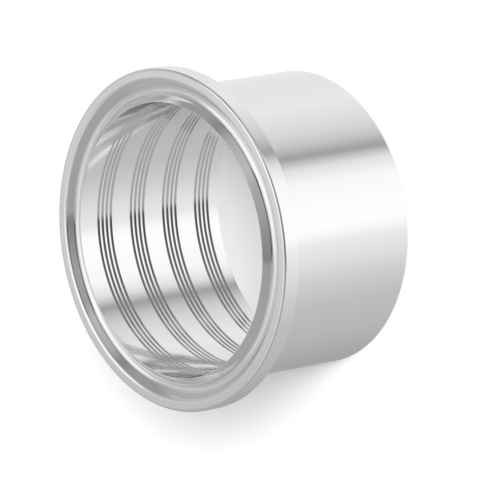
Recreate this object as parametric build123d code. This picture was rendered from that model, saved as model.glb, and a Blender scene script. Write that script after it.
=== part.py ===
from build123d import *
import math
import os

# Sanitary clamp ferrule for an expanded tube: one turned stainless ring.
# The origin is on the bore axis at the tube end, +Z runs along the axis and the sealing face is on top.
# All sizes are in millimetres and angles in degrees.

# Tube and body
tube_diameter = 50.8        # outside diameter of the tube that is expanded into the bore
tube_clearance = 0.25       # gap all round between the tube and the bore before it is expanded
body_wall = 1.9             # thickness of the plain body around the bore
overall_length = 34.3       # from the tube end to the sealing face

# Sealing face, from the bore outwards
inner_lip = 0.15            # ring between the bore and the gasket groove, a thin lip
gasket_width = 4.08         # width of the gasket groove at the face, its broken edge left out
gasket_flank = 50.0         # slope of the groove's flanks from the plane of the face
gasket_round = 1.4          # radius of the groove's bottom
gasket_flats = 3            # flats that make up the round bottom
gasket_edge = 0.42          # broken outer edge of the groove, along the face and along the flank
outer_land = 1.7            # ring between the groove's outer edge and the outside of the rim

# Clamp rim
rim_thickness = 3.5         # straight height of the rim, broken corner included
rim_break = 0.4             # broken corner of the rim at the sealing face
back_slope = 20.0           # slope of the rim's back, where the clamp bears, from the plane of the rim
neck_blend = 0.6            # distance from the neck's corner to each end of the flat that blends it

# Gripping grooves in the bore, which hold the expanded tube
band_count = 4              # bands of grooves, evenly spaced along the bore
first_groove = 4.55         # from the sealing face to the middle of the first groove
last_groove = 2.7           # from the tube end to the middle of the last groove
grooves_per_band = 4        # fine grooves in a band
groove_pitch = 1.01         # from one fine groove to the next in a band
groove_width = 0.6          # width of a fine groove at the bore wall
groove_depth = 0.3          # depth of a fine groove

# Sizes that follow from the ones above
bore_radius = tube_diameter / 2 + tube_clearance
body_radius = bore_radius + body_wall
flank = math.radians(gasket_flank)
flank_width = gasket_width / 2 - gasket_round * math.sin(flank)
gasket_depth = gasket_round * (1 - math.cos(flank)) + flank_width * math.tan(flank)
gasket_radius = bore_radius + inner_lip + gasket_width / 2
rim_radius = gasket_radius + gasket_width / 2 + gasket_edge + outer_land
rim_back = overall_length - rim_thickness
slope = math.radians(back_slope)
neck_height = rim_back - (rim_radius - body_radius) * math.tan(slope)
band_width = (grooves_per_band - 1) * groove_pitch
band_pitch = (overall_length - first_groove - last_groove - band_width) / (band_count - 1)


def body_and_rim():
    """Outside corners, from the tube end up to the sealing face."""
    return [
        (body_radius, 0),
        (body_radius, neck_height - neck_blend),
        (body_radius + neck_blend * math.cos(slope), neck_height + neck_blend * math.sin(slope)),
        (rim_radius, rim_back),
        (rim_radius, overall_length - rim_break),
        (rim_radius - rim_break, overall_length),
    ]


def gasket_groove():
    """Corners of the groove in the sealing face, from its outer edge across its bottom to its inner edge."""
    outer_edge = gasket_radius + gasket_width / 2
    corners = [
        (outer_edge + gasket_edge, overall_length),
        (outer_edge - gasket_edge * math.cos(flank), overall_length - gasket_edge * math.sin(flank)),
    ]
    for corner in range(gasket_flats + 1):
        turn = flank - 2 * flank * corner / gasket_flats
        rise = gasket_round * (1 - math.cos(turn))
        corners.append((gasket_radius + gasket_round * math.sin(turn), overall_length - gasket_depth + rise))
    corners.append((gasket_radius - gasket_width / 2, overall_length))
    return corners


def gripping_grooves():
    """Corners of the fine grooves, from the sealing face down to the tube end."""
    corners = []
    for band in range(band_count):
        for groove in range(grooves_per_band):
            middle = overall_length - first_groove - band * band_pitch - groove * groove_pitch
            corners.append((bore_radius, middle + groove_width / 2))
            corners.append((bore_radius + groove_depth, middle))
            corners.append((bore_radius, middle - groove_width / 2))
    return corners


def wall_section():
    """The section that is turned round the bore axis, with the radius along X and the height along Y."""
    mouth = [(bore_radius, overall_length)]
    end = [(bore_radius, 0)]
    with BuildSketch() as drawing:
        with BuildLine():
            Polyline(*body_and_rim(), *gasket_groove(), *mouth, *gripping_grooves(), *end, close=True)
        make_face()
    return drawing.sketch


def ferrule():
    """The whole ring, turned from its section."""
    upright = Plane.XZ * wall_section()
    return revolve(upright, axis=Axis.Z)


os.makedirs("parts", exist_ok=True)
export_step(ferrule(), "parts/ferrule.step")
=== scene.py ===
import math

import bmesh
import bpy
from mathutils import Matrix, Vector


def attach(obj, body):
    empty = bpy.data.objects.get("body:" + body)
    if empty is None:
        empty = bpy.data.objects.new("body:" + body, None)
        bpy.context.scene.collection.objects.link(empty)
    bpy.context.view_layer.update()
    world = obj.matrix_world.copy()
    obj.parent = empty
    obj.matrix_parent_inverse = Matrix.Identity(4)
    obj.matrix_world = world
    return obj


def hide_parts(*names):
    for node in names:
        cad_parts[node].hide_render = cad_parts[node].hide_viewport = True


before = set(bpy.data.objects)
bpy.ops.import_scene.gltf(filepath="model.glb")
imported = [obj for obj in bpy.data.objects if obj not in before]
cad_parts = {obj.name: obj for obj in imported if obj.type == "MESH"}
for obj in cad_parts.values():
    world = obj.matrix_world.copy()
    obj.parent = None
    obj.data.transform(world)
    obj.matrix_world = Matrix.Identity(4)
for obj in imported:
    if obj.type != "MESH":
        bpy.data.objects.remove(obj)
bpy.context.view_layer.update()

# Sizes of the ferrule, in millimetres: heights are from the tube end, radii from the bore axis.
MM = 0.001
LENGTH = 34.3
BORE = 25.65
BODY = 27.55
RIM = 32.0
RIM_BACK = 30.8
BACK_SLOPE = math.radians(20)
NECK_FILLET = 0.86
RIM_FRONT_ROUND = 0.57
RIM_BACK_ROUND = 0.12
END_ROUND = 0.1
MOUTH_ROUND = 0.08
SUPPORT = 0.03          # from the end of a straight run to the point that holds it flat
WALL_TOP = LENGTH - MOUTH_ROUND - SUPPORT
WALL_FOOT = END_ROUND + SUPPORT

# Gasket groove: a round bottom between two flanks, a rounded outer edge and a thin lip at the bore.
GROOVE_RADIUS = 27.84
GROOVE_DEPTH = 1.653
GROOVE_BOTTOM_ROUND = 1.4
GROOVE_FLANK = math.radians(50)
OUTER_EDGE_ROUND = 0.9
LIP_ROUND = 0.05

# Gripping grooves in the bore.
BANDS = 4
GROOVES_PER_BAND = 4
FIRST_GROOVE = 4.55
LAST_GROOVE = 2.7
GRIP_PITCH = 1.01
GRIP_WIDTH = 0.6
GRIP_DEPTH = 0.3
BAND_WIDTH = (GROOVES_PER_BAND - 1) * GRIP_PITCH
BAND_PITCH = (LENGTH - FIRST_GROOVE - LAST_GROOVE - BAND_WIDTH) / (BANDS - 1)
CORNERS_PER_GROOVE = 3

# How finely the ring is drawn: steps round the axis and on each kind of round, how far apart points of the
# section may lie that are one point, and from which angle an edge is sharp.
TURNS = 384
FILLET_STEPS = 10
EDGE_STEPS = 8
MOUTH_STEPS = 5
BACK_CORNER_STEPS = 4
END_CORNER_STEPS = 3
MERGE_DISTANCE = 0.002
SHARP_ANGLE = math.radians(28)

# Steel: fine turning lines and coarser rings, by their spacing in millimetres and the part of a turn they
# last, and what the lines and a soft cloudiness add to the roughness.
STEEL_COLOUR = (0.79, 0.79, 0.795, 1)
STEEL_ROUGHNESS = 0.09
LINE_SPACING = 0.12
LINE_STREAK = 0.5
LINE_HEIGHT = 0.004
LINE_GLOSS = 0.05
RING_SPACING = 0.9
RING_STREAK = 0.35
RING_SHARE = 3          # height of the rings by the height of the lines
LINE_DETAIL = 3
BUMP_STRENGTH = 0.35
CLOUD_SCALE = 0.16
CLOUD_DETAIL = 4
CLOUD_GLOSS = 0.04
MEAN_GLOSS = 0.045      # what lines and clouds add on average

# Studio: a ring of cards near the floor and rings on the walls above it. A card is an azimuth in degrees
# and a brightness, and fades softly into the next. A wall ring is listed with the two elevations, in
# degrees, between which it takes over from the ring below it.
FLOOR_CARDS = (
    (-150, 0.58), (-118, 0.65), (-98, 0.77), (-80, 0.95), (-68, 1.03), (-62, 1.16), (-56, 1.26),
    (-44, 1.26), (-20, 1.18), (-8, 0.95), (2, 0.42), (12, 0.69), (22, 0.84), (36, 0.95),
    (52, 1.02), (72, 0.96), (128, 0.9), (131, 0.42), (162, 0.42),
)
LOW_CARDS = (
    (-172, 0.45), (-112, 0.45), (-78, 0.4), (-74, 0.3), (-36, 0.42), (0, 0.62), (26, 0.5),
    (37, 0.3), (50, 0.4), (68, 0.38), (98, 0.6), (140, 0.65), (158, 0.55),
)
MIDDLE_CARDS = (
    (-172, 0.65), (-142, 0.5), (-112, 0.45), (-78, 0.48), (-74, 0.25), (-36, 0.43), (-26, 0.44),
    (0, 0.25), (22, 0.24), (38, 0.25), (68, 0.6), (98, 0.5), (128, 0.78), (133, 0.8), (135, 0.86),
    (137, 0.57), (141, 0.5), (158, 0.64),
)
UPPER_CARDS = (
    (-172, 0.72), (-112, 0.64), (-78, 0.45), (-74, 0.06), (-36, 0.12), (0, 0.08), (8, 0.6),
    (38, 0.8), (68, 1.05), (128, 1.2), (141, 0.9), (158, 0.8),
)
HIGH_CARDS = (
    (-172, 0.8), (-142, 0.75), (-112, 0.6), (-76, 0.4), (-36, 0.65), (0, 1.0), (38, 1.15),
    (98, 1.27), (128, 1.27), (158, 1.0),
)
CEILING = ((0, 1.08),)
WALL_RINGS = (
    (2, 9, LOW_CARDS),
    (36, 41, MIDDLE_CARDS),
    (45, 50, UPPER_CARDS),
    (60, 66, HIGH_CARDS),
    (76, 83, CEILING),
)

# Camera: where it looks, from where, how it is rolled about its own axis, and its lens in millimetres.
AIM = Vector((-1.62, -1.4, 17.33)) * MM
CAMERA_DISTANCE = 1.194
CAMERA_AZIMUTH = math.radians(-45)
CAMERA_ELEVATION = math.radians(40.433)
CAMERA_ROLL = math.radians(-99.911)
LENS = 481.8
SENSOR = 36
NEAREST = 0.1
FARTHEST = 30

# Floor, and the lamp that casts the soft shadow on it: where it stands and how wide it is seen.
FLOOR_RADIUS = 12
FLOOR_SIDES = 64
FLOOR_ROUGHNESS = 0.9
FLOOR_COLOUR = (0.86, 0.86, 0.86, 1)
KEY_STRENGTH = 3.6
KEY_WIDTH = math.radians(25)
KEY_AZIMUTH = math.radians(-35)
KEY_ELEVATION = math.radians(42)


# Section of the ring

def arc(centre, radius, start, end, steps):
    """Points on a circle between two directions, in radians from +X of the section."""
    points = []
    for step in range(steps + 1):
        turn = start + (end - start) * step / steps
        points.append((centre[0] + radius * math.cos(turn), centre[1] + radius * math.sin(turn)))
    return points


def held_flat(points):
    """The same outline with a point close to each end of every straight run, so that it shades flat."""
    held = [points[0]]
    for before, after in zip(points, points[1:]):
        run = Vector(after) - Vector(before)
        if run.length > 4 * SUPPORT:
            step = run.normalized() * SUPPORT
            held.append(tuple(Vector(before) + step))
            held.append(tuple(Vector(after) - step))
        held.append(after)
    return held


def tube_end():
    """The square-cut end, from just up the bore wall to the body wall, with its corners just broken."""
    quarter = math.pi / 2
    start = [(BORE, WALL_FOOT)]
    inner = arc((BORE + END_ROUND, END_ROUND), END_ROUND, math.pi, math.pi + quarter, END_CORNER_STEPS)
    outer = arc((BODY - END_ROUND, END_ROUND), END_ROUND, -quarter, 0, END_CORNER_STEPS)
    return start + inner + outer


def neck_and_back():
    """The fillet where the body meets the rim, and the rim's sloped back."""
    tilt = math.pi / 2 - BACK_SLOPE
    corner_height = RIM_BACK - (RIM - BODY) * math.tan(BACK_SLOPE)
    reach = NECK_FILLET * math.tan(tilt / 2)
    centre = (BODY + NECK_FILLET, corner_height - reach)
    fillet = arc(centre, NECK_FILLET, math.pi, math.pi - tilt, FILLET_STEPS)
    inside = (RIM - RIM_BACK_ROUND, RIM_BACK + RIM_BACK_ROUND * math.tan(tilt / 2))
    corner = arc(inside, RIM_BACK_ROUND, -tilt, 0, BACK_CORNER_STEPS)
    return fillet + corner


def rim_front():
    """The rounded front edge of the rim."""
    centre = (RIM - RIM_FRONT_ROUND, LENGTH - RIM_FRONT_ROUND)
    return arc(centre, RIM_FRONT_ROUND, 0, math.pi / 2, EDGE_STEPS)


def gasket_groove():
    """The groove in the sealing face, from its outer rounded edge across its bottom to its inner one."""
    up = math.pi / 2
    flank = GROOVE_FLANK
    bottom = (GROOVE_RADIUS, LENGTH - GROOVE_DEPTH + GROOVE_BOTTOM_ROUND)
    points = []
    for side, edge in ((1, OUTER_EDGE_ROUND), (-1, LIP_ROUND)):
        run = (GROOVE_DEPTH - (edge + GROOVE_BOTTOM_ROUND) * (1 - math.cos(flank))) / math.tan(flank)
        reach = (edge + GROOVE_BOTTOM_ROUND) * math.sin(flank) + run
        crest = (GROOVE_RADIUS + side * reach, LENGTH - edge)
        edge_arc = arc(crest, edge, up, up + side * flank, EDGE_STEPS)
        bottom_arc = arc(bottom, GROOVE_BOTTOM_ROUND, -up + side * flank, -up, FILLET_STEPS)
        half = edge_arc + bottom_arc
        points += half if side == 1 else half[::-1][1:]
    return points


def mouth():
    """The rounded corner from the lip into the bore, and a little way down the bore wall."""
    centre = (BORE + MOUTH_ROUND, LENGTH - MOUTH_ROUND)
    return arc(centre, MOUTH_ROUND, math.pi / 2, math.pi, MOUTH_STEPS) + [(BORE, WALL_TOP)]


def outline():
    """The whole section but the bore wall, from the foot of that wall round the outside to its top."""
    return held_flat(tube_end() + neck_and_back() + rim_front() + gasket_groove() + mouth())


# Ferrule

def value(tree, operation, *terms):
    """A Math node on sockets or plain numbers."""
    node = tree.nodes.new("ShaderNodeMath")
    node.operation = operation
    for socket, term in zip(node.inputs, terms):
        if isinstance(term, (int, float)):
            socket.default_value = term
        else:
            tree.links.new(term, socket)
    return node.outputs[0]


def same(tree, first, second):
    """1 where two whole numbers are the same, and otherwise 0."""
    well_under_one = 0.1
    return value(tree, "COMPARE", first, second, well_under_one)


def turning_tree():
    """Node tree that adds the grooved bore wall to an outline and turns the section round the bore axis."""
    tree = bpy.data.node_groups.new("turned_ring", "GeometryNodeTree")
    face = tree.interface
    face.new_socket("Outline", in_out="INPUT", socket_type="NodeSocketGeometry")
    for name in ("Turns", "Bands", "Grooves per band"):
        face.new_socket(name, in_out="INPUT", socket_type="NodeSocketInt")
    sizes = ("Bore radius", "Wall top", "Wall foot", "First groove height", "Band pitch")
    for name in sizes + ("Groove pitch", "Groove width", "Groove depth"):
        face.new_socket(name, in_out="INPUT", socket_type="NodeSocketFloat")
    face.new_socket("Finish", in_out="INPUT", socket_type="NodeSocketMaterial")
    face.new_socket("Ring", in_out="OUTPUT", socket_type="NodeSocketGeometry")

    given = tree.nodes.new("NodeGroupInput").outputs
    index = tree.nodes.new("GeometryNodeInputIndex").outputs[0]
    grooves = value(tree, "MULTIPLY", given["Bands"], given["Grooves per band"])
    corners = value(tree, "MULTIPLY", grooves, CORNERS_PER_GROOVE)

    # Upper edge, middle and lower edge of each groove, counted down the wall
    corner = value(tree, "SUBTRACT", index, 1)
    groove = value(tree, "FLOOR", value(tree, "DIVIDE", corner, CORNERS_PER_GROOVE))
    place = value(tree, "SUBTRACT", corner, value(tree, "MULTIPLY", groove, CORNERS_PER_GROOVE))
    band = value(tree, "FLOOR", value(tree, "DIVIDE", groove, given["Grooves per band"]))
    in_band = value(tree, "SUBTRACT", groove, value(tree, "MULTIPLY", band, given["Grooves per band"]))
    lower_by = value(tree, "MULTIPLY", band, given["Band pitch"])
    height = value(tree, "SUBTRACT", given["First groove height"], lower_by)
    height = value(tree, "SUBTRACT", height, value(tree, "MULTIPLY", in_band, given["Groove pitch"]))
    half_width = value(tree, "DIVIDE", given["Groove width"], 2)
    above_middle = value(tree, "SUBTRACT", 1, place)
    height = value(tree, "ADD", height, value(tree, "MULTIPLY", above_middle, half_width))
    middle = same(tree, place, 1)

    # The first and the last point are the ends of the wall
    last = value(tree, "ADD", corners, 1)
    at_top = same(tree, index, 0)
    at_foot = same(tree, index, last)
    on_wall = value(tree, "SUBTRACT", 1, value(tree, "ADD", at_top, at_foot))
    height = value(tree, "MULTIPLY", height, on_wall)
    height = value(tree, "ADD", height, value(tree, "MULTIPLY", at_top, given["Wall top"]))
    height = value(tree, "ADD", height, value(tree, "MULTIPLY", at_foot, given["Wall foot"]))
    cut = value(tree, "MULTIPLY", value(tree, "MULTIPLY", middle, on_wall), given["Groove depth"])

    # A profile is laid with its Y pointing down, so heights are drawn downwards
    place_corner = tree.nodes.new("ShaderNodeCombineXYZ")
    tree.links.new(cut, place_corner.inputs["X"])
    tree.links.new(value(tree, "MULTIPLY", height, -1), place_corner.inputs["Y"])
    wall = tree.nodes.new("GeometryNodeMeshLine")
    tree.links.new(value(tree, "ADD", corners, 2), wall.inputs["Count"])
    cut_wall = tree.nodes.new("GeometryNodeSetPosition")
    tree.links.new(wall.outputs[0], cut_wall.inputs["Geometry"])
    tree.links.new(place_corner.outputs[0], cut_wall.inputs["Position"])

    section = tree.nodes.new("GeometryNodeJoinGeometry")
    tree.links.new(cut_wall.outputs[0], section.inputs[0])
    tree.links.new(given["Outline"], section.inputs[0])
    drawn = tree.nodes.new("GeometryNodeMeshToCurve")
    tree.links.new(section.outputs[0], drawn.inputs[0])

    path = tree.nodes.new("GeometryNodeCurvePrimitiveCircle")
    tree.links.new(given["Turns"], path.inputs["Resolution"])
    tree.links.new(given["Bore radius"], path.inputs["Radius"])
    turned = tree.nodes.new("GeometryNodeCurveToMesh")
    tree.links.new(path.outputs[0], turned.inputs["Curve"])
    tree.links.new(drawn.outputs[0], turned.inputs["Profile Curve"])

    closed = tree.nodes.new("GeometryNodeMergeByDistance")
    closed.inputs["Distance"].default_value = MERGE_DISTANCE * MM
    tree.links.new(turned.outputs[0], closed.inputs["Geometry"])
    smooth = tree.nodes.new("GeometryNodeSetShadeSmooth")
    tree.links.new(closed.outputs[0], smooth.inputs["Geometry"])
    whole = tree.nodes.new("GeometryNodeRealizeInstances")
    tree.links.new(smooth.outputs[0], whole.inputs[0])
    finished = tree.nodes.new("GeometryNodeSetMaterial")
    tree.links.new(whole.outputs[0], finished.inputs["Geometry"])
    tree.links.new(given["Finish"], finished.inputs["Material"])
    result = tree.nodes.new("NodeGroupOutput")
    tree.links.new(finished.outputs[0], result.inputs[0])
    return tree


def set_input(modifier, name, setting):
    """Sets a modifier's input by its socket's identifier."""
    for item in modifier.node_group.interface.items_tree:
        if item.item_type == "SOCKET" and item.in_out == "INPUT" and item.name == name:
            modifier[item.identifier] = setting


def make_ferrule(finish):
    """The whole ring as one closed mesh."""
    drawn = bpy.data.meshes.new("ferrule_outline")
    points = [((radius - BORE) * MM, -height * MM, 0) for radius, height in outline()]
    drawn.from_pydata(points, [(at, at + 1) for at in range(len(points) - 1)], [])
    carrier = bpy.data.objects.new("ferrule_outline", drawn)
    bpy.context.scene.collection.objects.link(carrier)
    modifier = carrier.modifiers.new("turned_ring", "NODES")
    modifier.node_group = turning_tree()
    settings = {
        "Turns": TURNS,
        "Bands": BANDS,
        "Grooves per band": GROOVES_PER_BAND,
        "Bore radius": BORE * MM,
        "Wall top": WALL_TOP * MM,
        "Wall foot": WALL_FOOT * MM,
        "First groove height": (LENGTH - FIRST_GROOVE) * MM,
        "Band pitch": BAND_PITCH * MM,
        "Groove pitch": GRIP_PITCH * MM,
        "Groove width": GRIP_WIDTH * MM,
        "Groove depth": GRIP_DEPTH * MM,
        "Finish": finish,
    }
    for name, setting in settings.items():
        set_input(modifier, name, setting)
    bpy.context.view_layer.update()
    evaluated = carrier.evaluated_get(bpy.context.evaluated_depsgraph_get())
    mesh = bpy.data.meshes.new_from_object(evaluated)
    bpy.data.objects.remove(carrier)

    ring = bmesh.new()
    ring.from_mesh(mesh)
    bmesh.ops.recalc_face_normals(ring, faces=ring.faces)
    ring.to_mesh(mesh)
    ring.free()
    mesh.name = "turned_ferrule"
    mesh.set_sharp_from_angle(angle=SHARP_ANGLE)
    piece = bpy.data.objects.new("turned_ferrule", mesh)
    bpy.context.scene.collection.objects.link(piece)
    return piece


# Steel

def turned_steel():
    """Stainless steel with fine turning lines round the bore axis and a soft satin unevenness."""
    steel = bpy.data.materials.new("turned_steel")
    steel.use_nodes = True
    tree = steel.node_tree
    shader = tree.nodes["Principled BSDF"]
    shader.inputs["Base Color"].default_value = STEEL_COLOUR
    shader.inputs["Metallic"].default_value = 1

    # Place on the ring in millimetres: radius, height and direction from the axis
    place = tree.nodes.new("ShaderNodeMapping")
    place.inputs["Scale"].default_value = (1 / MM, 1 / MM, 1 / MM)
    tree.links.new(tree.nodes.new("ShaderNodeTexCoord").outputs["Object"], place.inputs["Vector"])
    parts = tree.nodes.new("ShaderNodeSeparateXYZ")
    tree.links.new(place.outputs[0], parts.inputs[0])
    level = tree.nodes.new("ShaderNodeCombineXYZ")
    tree.links.new(parts.outputs["X"], level.inputs["X"])
    tree.links.new(parts.outputs["Y"], level.inputs["Y"])
    radius = vector_math(tree, "LENGTH", level.outputs[0]).outputs["Value"]
    facing = vector_math(tree, "NORMALIZE", level.outputs[0]).outputs["Vector"]

    lines = ring_noise(tree, facing, radius, parts.outputs["Z"], LINE_SPACING, LINE_STREAK)
    rings = ring_noise(tree, facing, radius, parts.outputs["Z"], RING_SPACING, RING_STREAK)
    clouds = tree.nodes.new("ShaderNodeTexNoise")
    clouds.inputs["Scale"].default_value = CLOUD_SCALE
    clouds.inputs["Detail"].default_value = CLOUD_DETAIL
    tree.links.new(place.outputs[0], clouds.inputs["Vector"])

    gloss = value(tree, "MULTIPLY_ADD", lines, LINE_GLOSS, STEEL_ROUGHNESS - MEAN_GLOSS)
    gloss = value(tree, "MULTIPLY_ADD", clouds.outputs["Fac"], CLOUD_GLOSS, gloss)
    tree.links.new(gloss, shader.inputs["Roughness"])

    height = value(tree, "MULTIPLY_ADD", rings, RING_SHARE, lines)
    bump = tree.nodes.new("ShaderNodeBump")
    bump.inputs["Strength"].default_value = BUMP_STRENGTH
    bump.inputs["Distance"].default_value = LINE_HEIGHT * MM
    tree.links.new(height, bump.inputs["Height"])
    tree.links.new(bump.outputs[0], shader.inputs["Normal"])
    return steel


def vector_math(tree, operation, vector):
    """A Vector Math node with its first vector linked."""
    node = tree.nodes.new("ShaderNodeVectorMath")
    node.operation = operation
    tree.links.new(vector, node.inputs[0])
    return node


def ring_noise(tree, facing, radius, height, spacing, streak):
    """Noise drawn out round the axis: lines a spacing apart in millimetres that last for part of a turn."""
    stretched = vector_math(tree, "SCALE", facing)
    stretched.inputs["Scale"].default_value = 1 / streak
    across = tree.nodes.new("ShaderNodeCombineXYZ")
    tree.links.new(value(tree, "DIVIDE", radius, spacing), across.inputs["Z"])
    both = vector_math(tree, "ADD", stretched.outputs[0])
    tree.links.new(across.outputs[0], both.inputs[1])
    noise = tree.nodes.new("ShaderNodeTexNoise")
    noise.noise_dimensions = "4D"
    noise.inputs["Scale"].default_value = 1
    noise.inputs["Detail"].default_value = LINE_DETAIL
    tree.links.new(both.outputs[0], noise.inputs["Vector"])
    tree.links.new(value(tree, "DIVIDE", height, spacing), noise.inputs["W"])
    return noise.outputs["Fac"]


# Stage

def studio():
    """Light of the studio by direction: rings of soft cards one above the other, under a pale ceiling."""
    world = bpy.data.worlds.new("studio")
    bpy.context.scene.world = world
    world.use_nodes = True
    tree = world.node_tree
    tree.nodes.clear()
    direction = tree.nodes.new("ShaderNodeTexCoord").outputs["Generated"]
    around = tree.nodes.new("ShaderNodeTexGradient")
    around.gradient_type = "RADIAL"
    tree.links.new(direction, around.inputs["Vector"])
    parts = tree.nodes.new("ShaderNodeSeparateXYZ")
    tree.links.new(direction, parts.inputs[0])
    shade = card_ring(tree, around.outputs["Fac"], FLOOR_CARDS)
    for start, end, cards in WALL_RINGS:
        ring = card_ring(tree, around.outputs["Fac"], cards)
        shade = blend_above(tree, parts.outputs["Z"], start, end, shade, ring)

    light = tree.nodes.new("ShaderNodeBackground")
    tree.links.new(shade, light.inputs["Color"])
    white = tree.nodes.new("ShaderNodeBackground")
    white.inputs["Color"].default_value = (1, 1, 1, 1)
    rays = tree.nodes.new("ShaderNodeLightPath")
    pick = tree.nodes.new("ShaderNodeMixShader")
    tree.links.new(rays.outputs["Is Camera Ray"], pick.inputs[0])
    tree.links.new(light.outputs[0], pick.inputs[1])
    tree.links.new(white.outputs[0], pick.inputs[2])
    out = tree.nodes.new("ShaderNodeOutputWorld")
    tree.links.new(pick.outputs[0], out.inputs["Surface"])


def card_ring(tree, around, cards):
    """One ring of cards as a colour ramp over the azimuth, whose two ends meet at 180 degrees."""
    first, last = cards[0], cards[-1]
    share = (180 - last[0]) / (first[0] + 360 - last[0])
    seam = last[1] + (first[1] - last[1]) * share
    closed = ((-180, seam),) + cards + ((180, seam),)
    ramp = tree.nodes.new("ShaderNodeValToRGB")
    tree.links.new(around, ramp.inputs["Fac"])
    stops = ramp.color_ramp.elements
    while len(stops) < len(closed):
        stops.new(0.5)
    for stop, (azimuth, brightness) in zip(stops, closed):
        stop.position = azimuth / 360 + 0.5
        stop.color = (brightness, brightness, brightness, 1)
    return ramp.outputs["Color"]


def blend_above(tree, level, start, end, lower, upper):
    """Goes softly from the lower shade to the upper one between two elevations in degrees."""
    soft = tree.nodes.new("ShaderNodeMapRange")
    soft.interpolation_type = "SMOOTHSTEP"
    soft.inputs["From Min"].default_value = math.sin(math.radians(start))
    soft.inputs["From Max"].default_value = math.sin(math.radians(end))
    tree.links.new(level, soft.inputs["Value"])
    mixed = tree.nodes.new("ShaderNodeMix")
    mixed.data_type = "RGBA"
    tree.links.new(soft.outputs[0], mixed.inputs["Factor"])
    tree.links.new(lower, mixed.inputs["A"])
    tree.links.new(upper, mixed.inputs["B"])
    return mixed.outputs["Result"]


def make_floor():
    """Pale floor under the ring. The steel reflects the studio and not this floor."""
    mesh = bpy.data.meshes.new("floor")
    disc = bmesh.new()
    bmesh.ops.create_circle(disc, cap_ends=True, segments=FLOOR_SIDES, radius=FLOOR_RADIUS)
    disc.to_mesh(mesh)
    disc.free()
    floor = bpy.data.objects.new("floor", mesh)
    bpy.context.scene.collection.objects.link(floor)
    floor.visible_glossy = False
    pale = bpy.data.materials.new("pale_floor")
    pale.use_nodes = True
    shader = pale.node_tree.nodes["Principled BSDF"]
    shader.inputs["Base Color"].default_value = FLOOR_COLOUR
    shader.inputs["Roughness"].default_value = FLOOR_ROUGHNESS
    mesh.materials.append(pale)
    return floor


def turned_from(azimuth, elevation):
    """The turn of a lamp or camera that looks at the origin from an azimuth and an elevation."""
    around = Matrix.Rotation(math.pi / 2 + azimuth, 4, "Z")
    tipped = Matrix.Rotation(math.pi / 2 - elevation, 4, "X")
    return around @ tipped


def make_key():
    """Wide soft lamp from beside the camera that casts the shadow. It isn't seen in the steel."""
    lamp = bpy.data.lights.new("key", "SUN")
    lamp.energy = KEY_STRENGTH
    lamp.angle = KEY_WIDTH
    key = bpy.data.objects.new("key", lamp)
    key.visible_glossy = False
    bpy.context.scene.collection.objects.link(key)
    key.matrix_world = turned_from(KEY_AZIMUTH, KEY_ELEVATION)
    return key


def make_camera():
    """Camera at the photograph's angle."""
    lens = bpy.data.cameras.new("camera")
    lens.lens = LENS
    lens.sensor_width = SENSOR
    lens.clip_start = NEAREST
    lens.clip_end = FARTHEST
    camera = bpy.data.objects.new("camera", lens)
    bpy.context.scene.collection.objects.link(camera)
    level = turned_from(CAMERA_AZIMUTH, CAMERA_ELEVATION)
    back = level.to_3x3() @ Vector((0, 0, 1))
    place = Matrix.Translation(AIM + back * CAMERA_DISTANCE)
    camera.matrix_world = place @ level @ Matrix.Rotation(CAMERA_ROLL, 4, "Z")
    bpy.context.scene.camera = camera


bpy.context.scene.view_settings.view_transform = "Standard"
ferrule = make_ferrule(turned_steel())
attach(ferrule, "root")
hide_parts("ferrule")
studio()
make_floor()
make_key()
make_camera()
